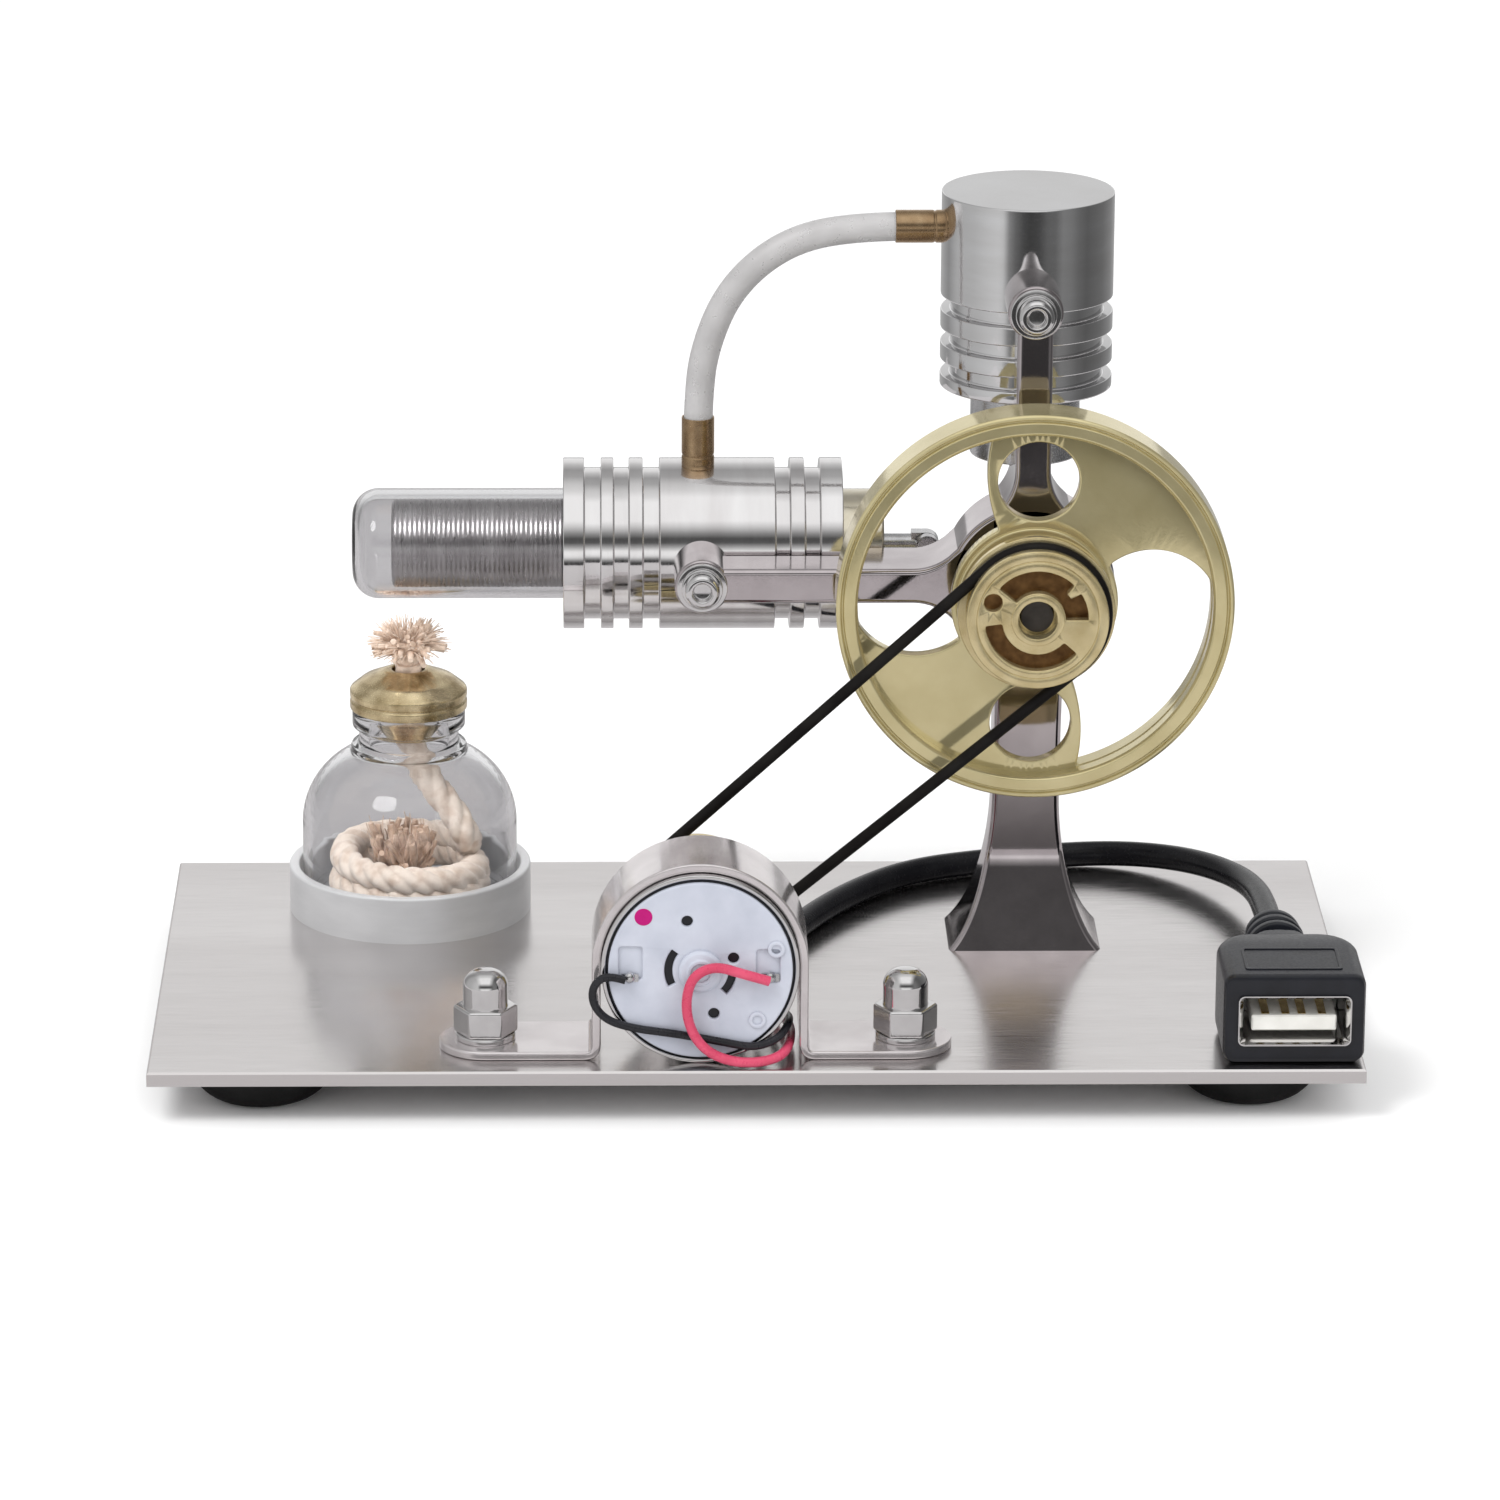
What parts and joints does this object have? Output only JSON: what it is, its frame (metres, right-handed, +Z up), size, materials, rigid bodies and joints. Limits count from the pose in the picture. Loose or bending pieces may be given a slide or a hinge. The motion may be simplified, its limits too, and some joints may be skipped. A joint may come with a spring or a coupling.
{
  "type": "stirling engine model",
  "caption": "Desktop hot-air engine on a flat base with a glass hot end over a spirit lamp, a spoked flywheel and a belt-driven generator wired to a socket.",
  "frame": {"origin": "middle of the base plate in X and Y, at the level of the feet's undersides", "axes": "+X along the plate from the lamp to the socket, +Y to the back, +Z up; the flywheel faces -Y"},
  "size_m": [0.15, 0.08, 0.1028],
  "materials": {
    "plate_steel": "brushed stainless sheet",
    "black_rubber": "matt moulded rubber",
    "satin_aluminium": "satin turned aluminium",
    "clear_glass": "clear glass",
    "yellow_brass": "turned brass",
    "wick_cotton": "twisted cotton",
    "dark_chrome": "polished nickel, dark reflections",
    "bright_steel": "bright steel",
    "mirror_metal": "mirror polished",
    "displacer_steel": "drawn thin steel",
    "wheel_brass": "pale polished brass",
    "clear_silicone": "milky translucent silicone",
    "belt_rubber": "smooth round rubber",
    "cap_plastic": "white moulded nylon",
    "magnet_ferrite": "sintered ferrite",
    "core_iron": "stacked iron sheet",
    "copper": "copper",
    "red_pvc": "soft red insulation",
    "black_pvc": "soft black insulation",
    "black_plastic": "black moulded plastic",
    "socket_steel": "plated sheet steel",
    "tongue_plastic": "pale moulded plastic",
    "gold_contact": "plated contact"
  },
  "bodies": {
    "root": {"base_plate": "plate_steel", "rubber_feet": "black_rubber", "lamp_ring": "satin_aluminium", "stand_casting": "dark_chrome", "stand_screws": "bright_steel", "bearing_outer_rings": "bright_steel", "arm_screws": "bright_steel", "arm_washers": "bright_steel", "displacer_cylinder": "mirror_metal", "rod_guide": "yellow_brass", "glass_tube": "clear_glass", "tube_seal": "black_rubber", "power_cylinder": "mirror_metal", "power_liner": "bright_steel", "displacer_port": "yellow_brass", "power_port": "yellow_brass", "air_hose": "clear_silicone", "drive_belt": "belt_rubber", "motor_can": "bright_steel", "motor_end_cap": "cap_plastic", "motor_terminals": "copper", "motor_magnets": "magnet_ferrite", "motor_bushes": "yellow_brass", "motor_strap": "mirror_metal", "strap_studs": "bright_steel", "strap_washers": "mirror_metal", "cap_nuts": "mirror_metal", "red_lead": "red_pvc", "black_lead": "black_pvc", "usb_cable": "black_pvc", "usb_boot": "black_plastic", "usb_body": "black_plastic", "usb_shell": "socket_steel", "usb_tongue": "tongue_plastic", "usb_contacts": "gold_contact"},
    "crank": {"crankshaft": "bright_steel", "flywheel": "wheel_brass", "hub_screw": "bright_steel", "drive_pulley": "yellow_brass", "crank_disc": "bright_steel", "crank_pin": "bright_steel", "bearing_inner_rings": "bright_steel", "bearing_balls": "mirror_metal"},
    "displacer_link": {"displacer_conrod": "bright_steel", "displacer_wrist_pin": "bright_steel"},
    "power_link": {"power_conrod": "bright_steel", "power_wrist_pin": "bright_steel"},
    "displacer_slide": {"displacer": "displacer_steel", "displacer_rod": "bright_steel"},
    "piston_slide": {"power_piston": "bright_steel", "piston_fork": "bright_steel"},
    "motor_rotor": {"motor_shaft": "bright_steel", "motor_armature": "core_iron", "motor_commutator": "copper", "motor_pulley": "yellow_brass"},
    "spirit_lamp": {"lamp_bottle": "clear_glass", "lamp_cap": "yellow_brass", "wick_rope": "wick_cotton", "wick_coil": "wick_cotton", "wick_tuft": "wick_cotton"}
  },
  "joints": [
    {"name": "crank_spin", "type": "hinge", "parent": "root", "child": "crank", "pos_m": [0.0353, 0, 0.0562], "axis": [0, 1, 0], "continuous": true},
    {"name": "displacer_big_end", "type": "hinge", "parent": "crank", "child": "displacer_link", "pos_m": [0.03469, 0.0228, 0.05275], "axis": [0, 1, 0], "continuous": true},
    {"name": "power_big_end", "type": "hinge", "parent": "crank", "child": "power_link", "pos_m": [0.03469, 0.0228, 0.05275], "axis": [0, 1, 0], "continuous": true},
    {"name": "displacer_travel", "type": "slide", "parent": "root", "child": "displacer_slide", "axis": [1, 0, 0], "range_m": [-0.00338, 0.00361]},
    {"name": "piston_travel", "type": "slide", "parent": "root", "child": "piston_slide", "axis": [0, 0, 1], "range_m": [-0.00004, 0.00695]},
    {"name": "motor_spin", "type": "hinge", "parent": "root", "child": "motor_rotor", "pos_m": [-0.007, -0.03, 0.0192], "axis": [0, 1, 0], "continuous": true},
    {"name": "lamp_lift", "type": "slide", "parent": "root", "child": "spirit_lamp", "axis": [0, 0, 1], "range_m": [0, 0.0025]}
  ],
  "couplings": [
    {"joint": "displacer_big_end", "follows": "crank_spin", "ratio": -1},
    {"joint": "power_big_end", "follows": "crank_spin", "ratio": -1},
    {"joint": "motor_spin", "follows": "crank_spin", "ratio": 1.1745}
  ]
}
